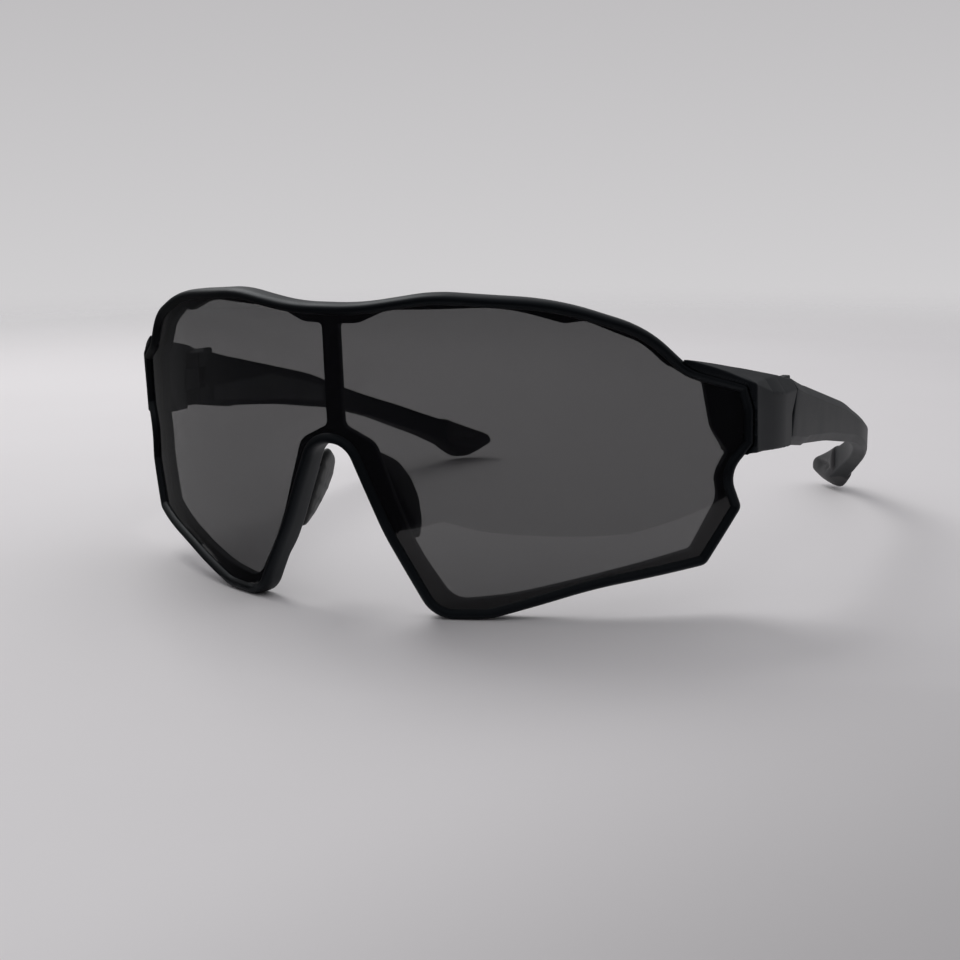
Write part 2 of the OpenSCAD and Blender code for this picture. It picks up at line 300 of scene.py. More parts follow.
def inside(points, loop):
    """Which of the points lie inside a closed line."""
    p, a = np.array(points, float), np.array(loop, float)
    b = np.roll(a, -1, axis=0)
    hit = np.zeros(len(p), bool)
    for (x0, y0), (x1, y1) in zip(a, b):
        if y0 == y1:
            continue
        cross = (p[:, 1] > min(y0, y1)) & (p[:, 1] <= max(y0, y1))
        hit ^= cross & (p[:, 0] < x0 + (p[:, 1] - y0) * (x1 - x0) / (y1 - y0))
    return hit


def fill(outer, holes, spacing):
    """Triangles over the area inside outer and outside the holes, with an even grid of points within."""
    loops = [outer] + holes
    coords, edges = [], []
    for loop in loops:
        at = len(coords)
        coords += loop
        edges += [(at + i, at + (i + 1) % len(loop)) for i in range(len(loop))]
    rim = np.array(coords, float)
    xs = np.arange(rim[:, 0].min() + 0.43 * spacing, rim[:, 0].max(), spacing)
    ys = np.arange(rim[:, 1].min() + 0.43 * spacing, rim[:, 1].max(), spacing)
    grid = np.array([(x, y) for x in xs for y in ys])
    keep = inside(grid, outer)
    for hole in holes:
        keep &= ~inside(grid, hole)
    grid = grid[keep]
    far = np.array([np.min(np.hypot(*(rim - g).T)) > 0.55 * spacing for g in grid]) if len(grid) else []
    coords = [Vector(c) for c in coords] + [Vector(g) for g in grid[far]]
    verts, _, faces, *_ = delaunay_2d_cdt(coords, edges, [], 0, 1e-6)
    verts = [(v[0], v[1]) for v in verts]
    mid = [tuple(np.mean([verts[i] for i in f], axis=0)) for f in faces]
    ok = inside(mid, outer)
    for hole in holes:
        ok &= ~inside(mid, hole)
    for i, (a, b, c) in enumerate(faces):
        (ax, ay), (bx, by), (cx, cy) = verts[a], verts[b], verts[c]
        ok[i] &= abs((bx - ax) * (cy - ay) - (cx - ax) * (by - ay)) > SLIVER
    return verts, [list(f) for f, k in zip(faces, ok) if k]


# ---------------------------------------------------------------- materials
def node_of(tree, kind, **values):
    n = tree.nodes.new(kind)
    for k, v in values.items():
        if hasattr(n, k):
            setattr(n, k, v)
        else:
            n.inputs[k].default_value = v
    return n


def new_material(name):
    mat = bpy.data.materials.new(name)
    mat.use_nodes = True
    return mat, mat.node_tree, mat.node_tree.nodes["Principled BSDF"]


def map_range(tree, value, low, high, to_low, to_high, **more):
    """The output of a node that maps low..high of a value to to_low..to_high."""
    n = node_of(tree, "ShaderNodeMapRange", **more)
    n.inputs["From Min"].default_value, n.inputs["From Max"].default_value = low, high
    n.inputs["To Min"].default_value, n.inputs["To Max"].default_value = to_low, to_high
    tree.links.new(value, n.inputs["Value"])
    return n.outputs["Result"]


def ramp_of(tree, value, *stops):
    """The colour output of a ramp with two (position, red, green, blue) stops."""
    n = node_of(tree, "ShaderNodeValToRGB")
    for element, (at, *colour) in zip(n.color_ramp.elements, stops):
        element.position, element.color = at, (*colour, 1)
    tree.links.new(value, n.inputs["Fac"])
    return n.outputs["Color"]


def moulded(name, dark, light, rough, grain, grain_depth, sockets=None, edge_wear=0.0):
    """A moulded surface: mottled colour, uneven gloss, fine grain, and edges that are a little worn."""
    mat, t, bsdf = new_material(name)
    for k, v in (sockets or {}).items():
        bsdf.inputs[k].default_value = v
    where = node_of(t, "ShaderNodeTexCoord")
    blotch = node_of(t, "ShaderNodeTexNoise", Scale=180.0, Detail=5.0, Roughness=0.6)
    fine = node_of(t, "ShaderNodeTexNoise", Scale=grain, Detail=3.0, Roughness=0.65)
    for n in (blotch, fine):
        t.links.new(where.outputs["Object"], n.inputs["Vector"])
    colour = ramp_of(t, blotch.outputs["Fac"], (0.3, *dark), (0.72, *light))
    if edge_wear:
        geo = node_of(t, "ShaderNodeNewGeometry")
        mix = node_of(t, "ShaderNodeMix", data_type="RGBA")
        t.links.new(map_range(t, geo.outputs["Pointiness"], 0.52, 0.62, 0.0, edge_wear), mix.inputs["Factor"])
        t.links.new(colour, mix.inputs["A"])
        mix.inputs["B"].default_value = (0.06, 0.064, 0.07, 1)
        colour = mix.outputs["Result"]
    t.links.new(colour, bsdf.inputs["Base Color"])
    t.links.new(map_range(t, blotch.outputs["Fac"], 0, 1, *rough), bsdf.inputs["Roughness"])
    bump = node_of(t, "ShaderNodeBump", Strength=0.6, Distance=grain_depth)
    t.links.new(fine.outputs["Fac"], bump.inputs["Height"])
    t.links.new(bump.outputs["Normal"], bsdf.inputs["Normal"])
    return mat


frame_mat = moulded("frame_plastic", (0.002, 0.0023, 0.0036), (0.004, 0.0045, 0.0062), (0.44, 0.54), 5200.0,
                    0.00001, {"Specular IOR Level": 0.2, "Specular Tint": (0.8, 0.92, 1, 1)}, edge_wear=0.05)
temple_mat = moulded("temple_plastic", (0.006, 0.0068, 0.0078), (0.010, 0.011, 0.0125), (0.42, 0.54),
                     4200.0, 0.000018, {"Specular IOR Level": 0.2, "Specular Tint": (0.86, 0.95, 1, 1)},
                     edge_wear=0.08)
pad_mat = moulded("pad_rubber", (0.016, 0.018, 0.018), (0.024, 0.027, 0.027), (0.5, 0.66),
                  2600.0, 0.00002, {"IOR": 1.45, "Sheen Weight": 0.12, "Sheen Roughness": 0.5})
grip_mat = moulded("grip_rubber", (0.055, 0.058, 0.062), (0.1, 0.104, 0.11), (0.4, 0.6),
                   3000.0, 0.00003, {"IOR": 1.48})
tip_mat = moulded("tip_rubber", (0.013, 0.013, 0.015), (0.022, 0.022, 0.024), (0.5, 0.64),
                  2600.0, 0.00002, {"IOR": 1.45, "Sheen Weight": 0.08, "Sheen Roughness": 0.5})


def metal(name, colour, rough):
    """Turned metal with fine marks."""
    mat, t, bsdf = new_material(name)
    bsdf.inputs["Metallic"].default_value = 1.0
    where = node_of(t, "ShaderNodeTexCoord")
    marks = node_of(t, "ShaderNodeTexNoise", Scale=2400.0, Detail=4.0)
    t.links.new(where.outputs["Object"], marks.inputs["Vector"])
    t.links.new(ramp_of(t, marks.outputs["Fac"], (0, *[c * 0.7 for c in colour]), (1, *colour)),
                bsdf.inputs["Base Color"])
    t.links.new(map_range(t, marks.outputs["Fac"], 0, 1, *rough), bsdf.inputs["Roughness"])
    return mat


steel_mat = metal("screw_steel", (0.45, 0.45, 0.46), (0.25, 0.45))
brass_mat = metal("brass", (0.7, 0.52, 0.25), (0.25, 0.4))


def lens_material():
    """Smoke polycarbonate: each face lets a third of the light by, and the gloss is the shader's own."""
    mat, t, bsdf = new_material("smoke_lens")
    bsdf.inputs["IOR"].default_value = 1.58
    bsdf.inputs["Specular IOR Level"].default_value = 0.46
    bsdf.inputs["Alpha"].default_value = 0.67
    where = node_of(t, "ShaderNodeTexCoord")
    haze = node_of(t, "ShaderNodeTexNoise", Scale=60.0, Detail=4.0)
    t.links.new(where.outputs["Object"], haze.inputs["Vector"])
    t.links.new(ramp_of(t, haze.outputs["Fac"], (0, 0.0025, 0.0025, 0.0040), (1, 0.0035, 0.0034, 0.0052)),
                bsdf.inputs["Base Color"])
    t.links.new(map_range(t, haze.outputs["Fac"], 0, 1, 0.02, 0.05), bsdf.inputs["Roughness"])
    return mat


lens_mat = lens_material()


# ---------------------------------------------------------------- front: rim, flange and windows
NOSE_WALL_H = 0.8


def nose_rise(s, w):
    """How much further back the rim's edge stands round the nose opening."""
    return NOSE_WALL_H * smooth((17 - abs(s)) / 3) * smooth((w - 9) / 3) * smooth((41 - w) / 3)


def rim_profile(e):
    """(distance in from the rim's outline, distance in front of the flange face), from the lens to the back.

    e is how much further back the edge stands."""
    return [(2.12, 1.86), (2.08, 2.02), (1.96, 2.3), (1.74, 2.62), (1.48, 2.86), (1.22, 2.97), (0.98, 3.0),
            (0.76, 2.95), (0.52, 2.78), (0.31, 2.5), (0.15, 2.12), (0.04, 1.65), (0.0, 1.1), (0.0, 0.0),
            (0.0, -1.0 - e), (0.05, -1.3 - e), (0.18, -1.55 - e), (0.4, -1.73 - e), (0.7, -1.8 - e),
            (1.3, -1.8 - e), (1.55, -1.8 - e * 0.8), (1.75, -1.8 - e * 0.2), (1.85, -1.8)]


WINDOW_PROFILE = [(0.34, 0.0), (0.16, -0.05), (0.05, -0.18), (0.0, -0.4), (0.0, -1.35),
                  (0.06, -1.58), (0.2, -1.73), (0.42, -1.8)]
BACK_D = rim_profile(0)[-1][0]
GROOVE_D = 1.1                   # the groove's wall, in from the rim's outline
RECESS_D = 1.1                   # the depth of the pocket in the flange at each outer end

shell = Build()
rim_corners = [rim_line(d) for d, _ in rim_profile(0)]
rises = [nose_rise(s, w) for s, w in rim_corners[0]]
shell.bands([[on_rim(s, w, rim_profile(rises[i])[j][1]) for i, (s, w) in enumerate(line)]
             for j, line in enumerate(rim_corners)])
for win in (WINDOW_L, WINDOW_R):
    shell.bands([[on_rim(s, w, n) for s, w in outline(inset(win, -e), base=win)]
                 for e, n in WINDOW_PROFILE])
RECESS = [(unroll(x, 0), w, 1.6) for x, w in ((67.2, 41.6), (70.6, 40.8), (71.2, 32.6), (68.8, 32.2))]
RECESSES = (RECESS, [(-s, w, r) for s, w, r in reversed(RECESS)])
for hole in RECESSES:
    floor_line = outline(inset(hole, 0.5), base=hole)
    shell.bands([[on_rim(s, w, n) for s, w in outline(inset(hole, e), base=hole)]
                 for e, n in ((0.0, 0.0), (0.1, -0.06), (0.2, -0.25), (0.3, -0.9), (0.5, -RECESS_D))])
    area, tris = fill(floor_line, [], spacing=1.0)
    shell.add([on_rim(s, w, -RECESS_D) for s, w in area], tris)
for depth, d, e in ((0.0, GROOVE_D, WINDOW_PROFILE[0][0]), (-FLANGE_T, BACK_D, WINDOW_PROFILE[-1][0])):
    holes = [outline(inset(w, -e), base=w) for w in (WINDOW_L, WINDOW_R)]
    if depth == 0.0:
        holes += [outline(h, base=h) for h in RECESSES]
    area, tris = fill(rim_line(d), holes, spacing=2.0)
    shell.add([on_rim(s, w, depth) for s, w in area], tris)
# the groove's floor and wall, under the lip
shell.bands([[on_rim(s, w, n) for s, w in rim_line(d)]
             for d, n in ((GROOVE_D, 0.0), (1.08, 1.0), (GROOVE_D, 1.98), (2.05, 1.97), (2.12, 1.86))])
shell.make("frame_shell", frame_mat, "front", ["frame_front"])


# ---------------------------------------------------------------- lens
def build_lens():
    """The shield: two curved faces and a rounded edge that sits in the groove."""
    edge = [(1.34, 0.12), (1.18, 0.25), (1.15, 0.4), (1.15, 1.6), (1.18, 1.78), (1.34, 1.93)]
    b = Build()
    b.bands([[on_rim(s, w, n) for s, w in rim_line(d)] for d, n in edge])
    area, tris = fill(rim_line(edge[0][0]), [], spacing=2.0)
    for n in (edge[0][1], edge[-1][1]):
        b.add([on_rim(s, w, n) for s, w in area], tris)
    b.make("lens_shield", lens_mat, "front", ["shield_lens"], sharp=30)


build_lens()


# ---------------------------------------------------------------- lines along a temple
def along(points, x, soft=4.0):
    """Height at x on a line through points, with its corners softened over a few mm."""
    xs, ys = zip(*points)
    return float(np.mean(np.interp(x + np.linspace(-soft, soft, 13), xs, ys)))


ARM_TOP = [(-10, 49.5), (7.5, 44.0), (16, 41.6), (57, 32.4), (97, 18.9), (114, 11.9), (130, 4.4)]
ARM_LOW = [(-10, 31.6), (7.5, 29.6), (16, 28.6), (41, 25.8), (70, 21), (87, 16.3), (105, 8.7), (113, 4),
           (125, -3)]


def seam_dy(z):
    """Where the front ends and the temple begins, behind the hinge axis: the seam has a kink."""
    return 7.3 + 3.0 * smooth((z - 36.5) / 3.9)


def temple_point(depth, dy, z):
    """A point under a temple's outer face: depth in from it, dy behind the hinge axis."""
    if dy <= STRAIGHT_L:
        return (HX + OUTER - depth, HY + dy, z)
    rho = BEND_R - depth
    phi = math.asin(min(0.99, (dy - STRAIGHT_L) / rho))
    return (HX + OUTER - BEND_R + rho * math.cos(phi), HY + dy, z)


def rounded_section(corners, steps=4):
    """A closed line of arcs alone, which keeps its number of points as its corners move."""
    out = []
    n = len(corners)
    for i in range(n):
        out += arc_of(corners[i - 1], corners[i], corners[(i + 1) % n], steps)
    return out


def arm_section(dy, g=0.0):
    """The temple's section, g smaller all round: (depth, height), clockwise, with chamfers outside."""
    top, low = along(ARM_TOP, dy), along(ARM_LOW, dy)
    k = 1 - 0.6 * smooth((dy - 62) / 26)
    slant = 0.9 * smooth((dy - 85) / 27)
    return rounded_section([
        (g, low + 1.9 * k, 0.35), (g, top - 2.0 * k, 0.35), (1.5 * k + g, top - g, 0.4),
        (TEMPLE_T - g, top - 0.2 - g, 0.6), (TEMPLE_T - g, low + 0.1 + slant + g, 0.6),
        (1.5 * k + g, low + g, 0.4)])


LUG_H, TONGUE_H, GAP = 3.6, 4.8, 0.05
LUG_Z = (HZ - TONGUE_H / 2 - GAP - LUG_H, HZ + TONGUE_H / 2 + GAP)
LUG_PLAN = [(-2.55, 1.2), (2.55, 1.2), (3.2, 2.4), (3.2, 10.6), (3.3, 12.6), (1.95, 12.6), (1.8, 9),
            (-2.55, 3.6)]
LUG_R, PIN_R = 2.6, 0.95         # round the screw
SEAM_GAP = 0.15
FRONT_SLOPE = 0.27               # how fast the temple's lines fall behind the seam


def build_temple(side, name):
    """A side arm with its two hinge lugs."""
    b = Build()
    rings = []
    # from the kinked seam to a square section 20 mm behind the hinge
    for u, shrink in ((0.0, 0.22), (0.02, 0.06), (0.05, 0.0), (0.3, 0), (0.6, 0), (1.0, 0)):
        base = 9 + 9 * u
        ring = []
        for depth, z in arm_section(base, shrink):
            start = seam_dy(z) + SEAM_GAP
            dy = start + (20 - start) * u
            ring.append(temple_point(depth, dy, z - FRONT_SLOPE * (dy - base)))
        rings.append(ring)
    dys = list(np.arange(22, 66, 2.0)) + list(np.arange(66, 117, 1.5))
    rings += [[temple_point(depth, dy, z) for depth, z in arm_section(dy)] for dy in dys]
    b.loft(rings, side)
    for z in LUG_Z:
        b.ring(HX, HY, PIN_R, LUG_R, z, z + LUG_H, side=side)
        b.prism([(HX + x, HY + y) for x, y in LUG_PLAN], z + 0.02, z + LUG_H - 0.02, 0.25, side)
    b.make("temple_arm_" + name, temple_mat, name + "_temple", ["temple_" + name])


def build_grip(side, name):
    """The soft panel on a temple's inner face, with fine upright ribs."""
    b = Build()
    top = [(12, 34.6), (20, 34.6), (38, 34.8), (58, 30.1), (64, 28.2)]
    low = [(12, 29.9), (16, 29.5), (42, 26.7), (64, 23.4)]
    pitch, rows, first, last = 0.8, 10, 12.2, 63.8
    rings = []
    for dy in np.arange(first, last + 0.1, pitch / 4):
        end = smooth(min(dy - first, last - dy) / 1.2)
        rib = (0.5 - 0.5 * math.cos(2 * math.pi * dy / pitch)) ** 1.5
        zt, zl = along(top, dy, 1.5), along(low, dy, 1.5)
        ring = []
        for j in range(rows + 1):
            v = j / rows
            edge = smooth(min(v, 1 - v) * (zt - zl) / 0.9)
            proud = 0.28 * end * edge * (0.35 + 0.65 * rib) - 0.1
            ring.append(temple_point(TEMPLE_T + proud, dy, zl + (zt - zl) * v))
        ring += [temple_point(TEMPLE_T - 0.6, dy, zt), temple_point(TEMPLE_T - 0.6, dy, zl)]
        rings.append(ring)
    b.loft(rings, side)
    b.make("temple_grip_panel_" + name, grip_mat, name + "_temple", ["temple_grip_" + name],
           sharp=50)


def build_tip(side, name):
    """The soft sleeve over a temple's end."""
    b = Build()
    top = [(109, 14.6), (113.6, 12.5), (124.8, 7.0), (128, 5.4)]
    low = [(108, 7.6), (111.6, 4.4), (116.5, 0.35), (121, 0.1), (124.8, 3.6), (127, 6)]
    first, last, nose, lip = 112.2, 124.7, 2.6, 0.6      # nose and lip: how far its ends are rounded
    rows, points = 44, 48
    rings = []
    for i in range(rows + 1):
        dy = first + (last - first) * (1 - (1 - i / rows) ** 1.5)
        zt, zl = along(top, dy, 1.2), along(low, dy, 1.2)
        end = math.sqrt(max(0.0, 1 - max(0.0, (dy - last + nose) / nose) ** 2))
        start = math.sqrt(max(0.0, 1 - (1 - min(1, (dy - first) / lip)) ** 2))
        mid, half_h = (zt + zl) / 2, (zt - zl) / 2 * (0.12 + 0.88 * end) - 0.35 * (1 - start)
        half_t = 2.48 * (0.1 + 0.9 * end) - 0.4 * (1 - start)
        ring = []
        for k in range(points):
            a = 2 * math.pi * k / points
            x = math.copysign(abs(math.cos(a)) ** 0.6, math.cos(a)) * half_t
            z = math.copysign(abs(math.sin(a)) ** 0.6, math.sin(a)) * half_h
            lift = 2.2 * smooth((x / half_t + 1) / 2) * smooth(-z / half_h)
            slot = 0.8 * math.exp(-(((dy - 117.2) / 3.0) ** 4) - (((z + mid - 6.8) / 0.8) ** 4))
            ring.append(temple_point(TEMPLE_T / 2 + x - (slot if x > 0 else 0.0), dy, mid + z + lift))
        rings.append(ring)
    b.loft(rings, side)
    b.make("temple_tip_sleeve_" + name, tip_mat, name + "_temple", ["temple_tip_" + name],
           sharp=50)


# ---------------------------------------------------------------- endpieces and the hinge tongues
def from_shield(p):
    """(x on the rim's front face, w, n) of a point in mm on the outer part of the shield."""
    x, y = abs(p[0]), (p[1] - FRONT_Y) * math.cos(LEAN) + (p[2] - FRONT_Z) * math.sin(LEAN)
    w = (p[2] - FRONT_Z) * math.cos(LEAN) - (p[1] - FRONT_Y) * math.sin(LEAN)
    dx, dy = x - SIDE_CX, SIDE_CY - y
    lead = dx * math.sin(SIDE_VIEW) + dy * math.cos(SIDE_VIEW)
    t = -lead + math.sqrt(lead ** 2 - dx * dx - dy * dy + (SIDE_R + RIM_H) ** 2)
    return x + t * math.sin(SIDE_VIEW), w, math.hypot(dx, dy) - SIDE_R


def with_modifier(mesh, kind, **settings):
    """The mesh that a modifier makes of this one."""
    obj = bpy.data.objects.new("work", mesh)
    bpy.context.scene.collection.objects.link(obj)
    mod = obj.modifiers.new("work", kind)
    for k, v in settings.items():
        setattr(mod, k, v)
    bpy.context.view_layer.update()
    done = bpy.data.meshes.new_from_object(obj.evaluated_get(bpy.context.evaluated_depsgraph_get()))
    bpy.data.objects.remove(obj)
    return done


ENDPIECE_X, ENDPIECE_Z = 50.0, 27.5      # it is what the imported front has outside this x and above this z
VOXEL, PASSES = 0.2, 9                   # of the remesh and of the smoothing that rounds its edges over
SIDE_FLATS = ((-54.8, -48.4, -41.3, -34.8), (72.9, 72.9, 74.4, 75.0))      # the outer side's corners: y, x
TOP_DROP, TOP_Z = 1.5, 45.0              # its top is what is above this z, and sinks this far by the rim
BROW_W = 41.5                            # above this w the endpiece meets the rim's top
SKIRT = 0.5
RIM_EDGE = outline(inset(mirrored(RIM_HALF), -0.1), base=mirrored(RIM_HALF))


def largest_part(bm):
    """Deletes everything from a mesh but its largest connected part."""
    left, parts = set(bm.verts), []
    while left:
        todo, part = [left.pop()], []
        while todo:
            v = todo.pop()
            part.append(v)
            for e in v.link_edges:
                o = e.other_vert(v)
                if o in left:
                    left.discard(o)
                    todo.append(o)
        parts.append(part)
    parts.sort(key=len)
    bmesh.ops.delete(bm, geom=[v for part in parts[:-1] for v in part], context="VERTS")


def build_endpiece(side, name):
    """An endpiece with its tongue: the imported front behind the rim, with every edge rounded over."""
    bm = bmesh.new()
    bm.from_mesh(frame["nodes"]["frame_front"].data)
    bmesh.ops.remove_doubles(bm, verts=bm.verts, dist=2e-6)
    for at, way in (((side * ENDPIECE_X, 0, 0), (side, 0, 0)), ((0, 0, ENDPIECE_Z), (0, 0, 1))):
        bmesh.ops.bisect_plane(bm, geom=bm.verts[:] + bm.edges[:] + bm.faces[:], clear_inner=True,
                               plane_co=Vector(at) * MM, plane_no=way, dist=1e-7)
        bmesh.ops.holes_fill(bm, edges=[e for e in bm.edges if len(e.link_faces) == 1], sides=0)
    bmesh.ops.triangulate(bm, faces=bm.faces)
    bmesh.ops.recalc_face_normals(bm, faces=bm.faces)
    mesh = bpy.data.meshes.new("end")
    bm.to_mesh(mesh)
    bm.free()
    mesh = with_modifier(mesh, "REMESH", mode="VOXEL", voxel_size=VOXEL * MM, use_smooth_shade=True)
    mesh = with_modifier(mesh, "SMOOTH", factor=0.5, iterations=PASSES)
    bm = bmesh.new()
    bm.from_mesh(mesh)
    side_from, side_to = SIDE_FLATS[1][0], SIDE_FLATS[1][-1]
    for v in bm.verts:
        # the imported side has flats: here they run on into each other as one soft curve
        x, y = abs(v.co.x) / MM, v.co.y / MM
        flat = float(np.interp(y, *SIDE_FLATS))
        soft = side_from + (side_to - side_from) * smooth((y + 52) / 18)
        x += (soft - flat) * min(1, max(0, (x - flat + 3) / 1.5))
        v.co.x = side * min(x * MM, cad_box[1][0])
        if v.co.z > TOP_Z * MM:
            v.co.z -= TOP_DROP * MM * (1 - min(1, max(0, (x - 61) / 8))) ** 1.5
    # the rim and flange themselves belong to the shell
    places = [from_shield(f.calc_center_median() / MM) for f in bm.faces]
    within = inside([(x, w) for x, w, n in places], RIM_EDGE)
    bmesh.ops.delete(bm, context="FACES", geom=[
        f for f, (x, w, n), hit in zip(bm.faces, places, within) if n > -FLANGE_T - 0.1 and hit])
    largest_part(bm)
    # a skirt that runs on into the shell, so that no gap shows
    made = bmesh.ops.extrude_edge_only(bm, edges=[e for e in bm.edges if len(e.link_faces) == 1])
    for v in [g for g in made["geom"] if isinstance(g, bmesh.types.BMVert)]:
        x, w, n = from_shield(v.co / MM)
        if n < -FLANGE_T + 0.15:
            way = (side * math.sin(SIDE_VIEW), -math.cos(SIDE_VIEW), 0)
        elif w > BROW_W:
            way = (-0.5 * side, 0, -0.85)
        else:
            way = (-side, 0, 0)
        v.co += Vector(way) * SKIRT * MM
    bm.to_mesh(mesh)
    bm.free()
    for p in mesh.polygons:
        p.use_smooth = True
    mesh.materials.clear()
    mesh.materials.append(frame_mat)
    obj = bpy.data.objects.new("endpiece_" + name, mesh)
    bpy.context.scene.collection.objects.link(obj)
    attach(obj, "front")


for side, name in ((1, "left"), (-1, "right")):
    build_endpiece(side, name)


# ---------------------------------------------------------------- nose pads
PAD_AT, PAD_LEAN, PAD_FLARE, PAD_T = (9.7, 4.6, 21.8), math.radians(24.8), math.radians(5), 2.8
PAD = [(-0.2, 8.6, 0.8), (1.6, 10.2, 2), (5.8, 7.2, 5), (7.4, 3, 5), (7.2, -1.4, 6), (5, -6.2, 3),
       (2.6, -8.6, 1.5), (1.6, -8.2, 0.8)]
PAD_RIB_PITCH, PAD_RIB_DEPTH = 3.4, 0.16
PRONG_HALF_T, PRONG_LOW, PRONG_TOP = 0.5, -4, 7


def pad_point(t, y, v):
    """A point of a pad: t across it, y back from the prong's root and v up along it."""
    x1 = t * math.cos(PAD_FLARE) + y * math.sin(PAD_FLARE)
    y1 = -t * math.sin(PAD_FLARE) + y * math.cos(PAD_FLARE)
    x2 = x1 * math.cos(PAD_LEAN) - v * math.sin(PAD_LEAN)
    z2 = x1 * math.sin(PAD_LEAN) + v * math.cos(PAD_LEAN)
    x, y, z = PAD_AT[0] + x2, PAD_AT[1] + y1, PAD_AT[2] + z2
    return (x, y * math.cos(LEAN) - z * math.sin(LEAN) + FRONT_Y,
            y * math.sin(LEAN) + z * math.cos(LEAN) + FRONT_Z)


def build_pad(side, name):
    """A soft pad, thickest in the middle and rounded over all round."""
    b = Build()
    line = outline(PAD, steps=6, spacing=0.5)
    c = np.mean(np.array(line), axis=0)
    rings = []
    half = PAD_T / 2
    ks = [0.02, 0.15, 0.3, 0.45, 0.6, 0.7, 0.78, 0.85, 0.9, 0.94, 0.97, 0.99, 1.0]
    for face in (-1, 1):
        order = ks if face < 0 else ks[::-1]
        for k in order:
            ring = []
            for y, v in line:
                py, pv = c[0] + (y - c[0]) * k, c[1] + (v - c[1]) * k
                t = half * (1 - k ** 7) ** 0.45 * (0.86 + 0.14 * (1 - k * k))
                if face < 0:      # shallow slanted ribs on the face that meets the nose
                    rib = max(0.0, math.cos(2 * math.pi * (pv + 0.55 * py) / PAD_RIB_PITCH)) ** 2
                    t -= PAD_RIB_DEPTH * (1 - rib) * smooth((0.93 - k) / 0.25)
                ring.append(pad_point(face * t, py, pv))
            rings.append(ring)
    b.loft(rings, side)
    b.make("nose_pad_soft_" + name, pad_mat, "front", ["nose_pad_" + name], sharp=60)


def build_prong(side, name):
    """The frame's tab that a nose pad is pushed on to."""
    b = Build()
    rings = []
    for y, g in ((-2.6, 0.0), (-1.0, 0.0), (0.8, 0.0), (2.6, 0.05), (3.3, 0.2)):
        half = PRONG_HALF_T - g * 0.5
        section = rounded_section([(-half, PRONG_LOW + g, 0.3), (-half, PRONG_TOP - g, 0.3),
                                   (half, PRONG_TOP - g, 0.3), (half, PRONG_LOW + g, 0.3)])
        rings.append([pad_point(t, y, v) for t, v in section])
    b.loft(rings, side)
    b.make("nose_prong_" + name, frame_mat, "front")


for side, name in ((1, "left"), (-1, "right")):
    build_temple(side, name)
    build_grip(side, name)
    build_tip(side, name)
    build_pad(side, name)
    build_prong(side, name)
    for node, mat in (("hinge_screw_", steel_mat), ("screw_insert_", brass_mat)):
        mesh = frame["nodes"][node + name].data
        mesh.materials.clear()
        mesh.materials.append(mat)


# ---------------------------------------------------------------- studio
def floor_material():
    """A pale floor that fades into the backdrop, with painted shade that makes it a little darker towards the
    near right.
    """
    mat, t, bsdf = new_material("floor")
    where = node_of(t, "ShaderNodeTexCoord")
    spots = node_of(t, "ShaderNodeTexNoise", Scale=9.0, Detail=6.0)
    t.links.new(where.outputs["Object"], spots.inputs["Vector"])
    # painted shade: the floor's colour is scaled down to 0.7 towards the near right, standing in for the
    # light falling off there
    toward = node_of(t, "ShaderNodeVectorMath", operation="DOT_PRODUCT")
    toward.inputs[1].default_value = (1, -0.35, 0)
    t.links.new(where.outputs["Object"], toward.inputs[0])
    painted_shade_colour = node_of(t, "ShaderNodeVectorMath", operation="SCALE")
    t.links.new(ramp_of(t, spots.outputs["Fac"], (0, 0.77, 0.745, 0.75), (1, 0.81, 0.79, 0.795)),
                painted_shade_colour.inputs[0])
    t.links.new(map_range(t, toward.outputs["Value"], 0.11, 0.21, 1.0, 0.7, interpolation_type="SMOOTHSTEP"),
                painted_shade_colour.inputs["Scale"])
    t.links.new(painted_shade_colour.outputs["Vector"], bsdf.inputs["Base Color"])
    bsdf.inputs["Roughness"].default_value = 0.6
    bsdf.inputs["Specular IOR Level"].default_value = 0.25
    length = node_of(t, "ShaderNodeVectorMath", operation="LENGTH")
    t.links.new(where.outputs["Object"], length.inputs[0])
    t.links.new(map_range(t, length.outputs["Value"], 0.3, 1.0, 1.0, 0.0, interpolation_type="SMOOTHERSTEP"),
                bsdf.inputs["Alpha"])
    return mat


bpy.ops.mesh.primitive_circle_add(vertices=96, radius=1.5, fill_type="NGON", location=(0, 0, 0))
floor = bpy.context.object
floor.name = "floor"
floor.data.materials.append(floor_material())


def studio_world():
    """A pale backdrop for the camera, and for the light a bright top and back with a dim front."""
    world = bpy.data.worlds.new("studio")
    bpy.context.scene.world = world
    world.use_nodes = True
    t = world.node_tree
    out = t.nodes["World Output"]
    seen = t.nodes["Background"]
    where = node_of(t, "ShaderNodeTexCoord")
    axes = node_of(t, "ShaderNodeSeparateXYZ")
    t.links.new(where.outputs["Generated"], axes.inputs["Vector"])
    t.links.new(ramp_of(t, map_range(t, axes.outputs["Z"], -1, 1, 0, 1), (0.40, 0.71, 0.70, 0.71),
                        (0.62, 0.45, 0.44, 0.45)), seen.inputs["Color"])
    glow = node_of(t, "ShaderNodeBackground")
    tone = node_of(t, "ShaderNodeVectorMath", operation="DOT_PRODUCT")
    tone.inputs[1].default_value = (-0.25, 0.55, 0.8)
    t.links.new(where.outputs["Generated"], tone.inputs[0])
    t.links.new(ramp_of(t, map_range(t, tone.outputs["Value"], -1, 1, 0, 1), (0.32, 0.1, 0.1, 0.105),
                        (0.9, 0.70, 0.70, 0.72)), glow.inputs["Color"])
    # glossy surfaces see a dimmer room
    path = node_of(t, "ShaderNodeLightPath")
    t.links.new(map_range(t, path.outputs["Is Glossy Ray"], 0, 1, 1.0, 0.62), glow.inputs["Strength"])
    mix = node_of(t, "ShaderNodeMixShader")
    t.links.new(path.outputs["Is Camera Ray"], mix.inputs["Fac"])
    t.links.new(glow.outputs["Background"], mix.inputs[1])
    t.links.new(seen.outputs["Background"], mix.inputs[2])
    t.links.new(mix.outputs["Shader"], out.inputs["Surface"])


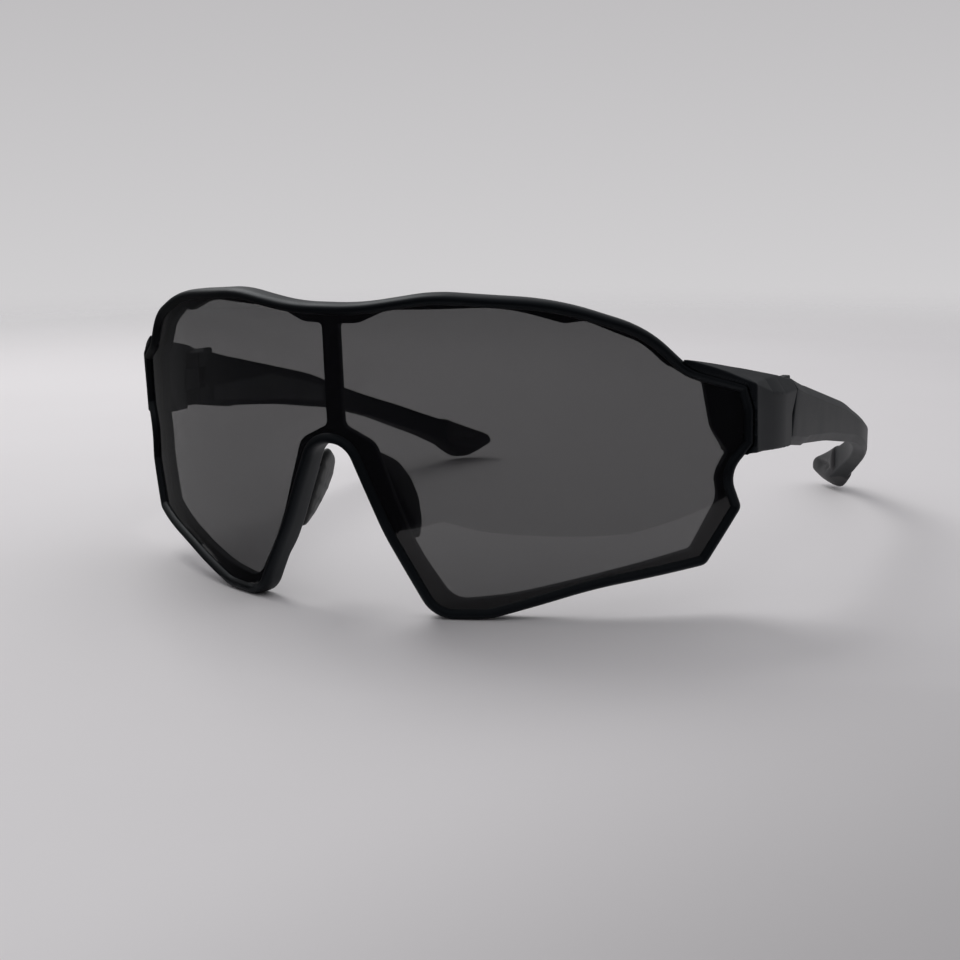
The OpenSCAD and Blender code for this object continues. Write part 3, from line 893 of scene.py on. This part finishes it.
studio_world()

key_data = bpy.data.lights.new("key", "AREA")
key_data.shape, key_data.size, key_data.size_y, key_data.energy = "RECTANGLE", 0.4, 0.4, 2.0
key = bpy.data.objects.new("key", key_data)
bpy.context.scene.collection.objects.link(key)
key.location = (-0.42, 0.2, 0.55)
key.rotation_euler = (Vector((0, 0, 0.02)) - key.location).to_track_quat("-Z", "Y").to_euler()


def board(name, points, material, *unseen_by):
    """A flat board of the studio, and the kinds of ray that don't see it."""
    mesh = bpy.data.meshes.new(name)
    mesh.from_pydata(points, [], [tuple(range(len(points)))])
    mesh.materials.append(material)
    obj = bpy.data.objects.new(name, mesh)
    bpy.context.scene.collection.objects.link(obj)
    for ray in unseen_by:
        setattr(obj, "visible_" + ray, False)
    return obj


def board_material(name, glow=0.0):
    mat, t, bsdf = new_material(name)
    bsdf.inputs["Base Color"].default_value = (0.02, 0.02, 0.02, 1)
    bsdf.inputs["Emission Color"].default_value = (1, 1, 1, 1)
    bsdf.inputs["Emission Strength"].default_value = glow
    return mat


# a dark card lying in front, seen only in reflections: the lens shows its far edge as a low horizon
CARD_Z = 0.002
CARD = [(-1, -0.75), (1, -0.75), (1, 0.2), (0.15, -0.067), (0.09, -0.09), (0.03, -0.133), (0.008, -0.128),
        (-0.012, -0.1), (-0.03, -0.07), (-0.086, -0.04), (-0.13, 0.08), (-0.2, 0.3), (-0.6, 0.6), (-1, 0.6)]
card_mat = board_material("card")
card = board("card", [(x, y, CARD_Z) for x, y in CARD], card_mat,
             "camera", "diffuse", "shadow", "transmission")

# a grey wall on the left, also seen only in reflections
wall = board("wall", [(-0.6, -1, 0), (-0.6, 0.55, 0), (-0.6, 0.55, 0.7), (-0.6, -1, 0.7)],
             board_material("wall", glow=0.12), "camera", "diffuse", "shadow", "transmission")

# a second card overhead takes some light off the floor in front
FLAG_Z = 0.16
flag = board("flag", [(x, y, FLAG_Z) for x, y in ((0.1, -0.36), (0.36, -0.36), (0.36, -0.16), (0.2, -0.2))],
             card_mat, "camera", "glossy", "transmission")

view = bpy.context.scene.view_settings
view.view_transform = "Standard"
view.look = "None"
